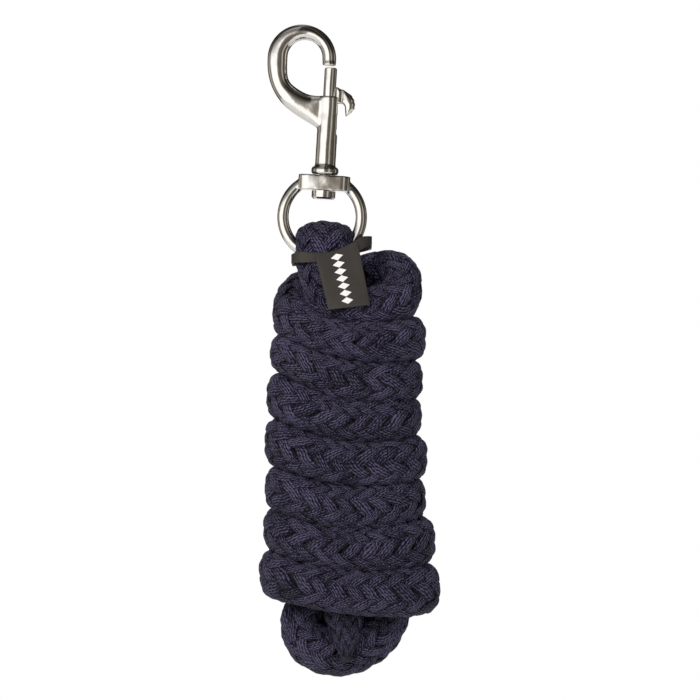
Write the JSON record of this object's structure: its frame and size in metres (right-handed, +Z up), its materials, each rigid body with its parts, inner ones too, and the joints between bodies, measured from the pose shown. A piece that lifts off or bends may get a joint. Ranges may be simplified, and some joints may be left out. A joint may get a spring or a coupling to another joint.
{
  "type": "lead rope",
  "caption": "Braided lead rope folded and wrapped into a hank, with a sewn eye on the swivel ring of a sliding bolt snap and a rubber tag.",
  "frame": {"origin": "centre of the round opening of the hook, in the middle of the hook's depth", "axes": "+Z up along the hanging hank, with the hook on top; +Y through the hook's opening, away from the viewer; +X towards the sliding bolt"},
  "size_m": [0.091, 0.0621, 0.3263],
  "materials": {
    "nickel": "bright nickel plate over zinc casting",
    "spring_steel": "drawn spring wire",
    "rope": "braided polypropylene, dark navy",
    "thread": "waxed sewing thread",
    "melted_rope": "melted rope end",
    "tag_rubber": "satin moulded rubber",
    "tag_print": "flat white print"
  },
  "bodies": {
    "snap": {"snap_body": "nickel", "swivel_rivet": "nickel", "bolt_spring": "spring_steel"},
    "bolt": {"bolt_pin": "nickel", "thumb_knob": "nickel"},
    "ring": {"swivel_ring": "nickel"},
    "rope": {"rope_eye": "rope", "eye_stitches": "thread", "rope_top_loop": "rope", "rope_hank": "rope", "rope_bottom_loop": "rope", "rope_tail": "rope", "tail_seal": "melted_rope", "tag": "tag_rubber", "tag_print": "tag_print"}
  },
  "joints": [
    {"name": "bolt_slide", "type": "slide", "parent": "snap", "child": "bolt", "axis": [0.0593, 0, 0.9982], "range_m": [-0.013, 0], "stiffness_N_per_m": 350, "springref_m": 0.004, "deforming": ["bolt_spring"]},
    {"name": "ring_swivel", "type": "hinge", "parent": "snap", "child": "ring", "pos_m": [0.00959, 0, -0.06281], "axis": [0.0593, 0, 0.9982], "continuous": true},
    {"name": "rope_swing", "type": "hinge", "parent": "ring", "child": "rope", "pos_m": [0.00859, 0, -0.09935], "axis": [1, 0, 0], "range_deg": [-30, 30]}
  ]
}
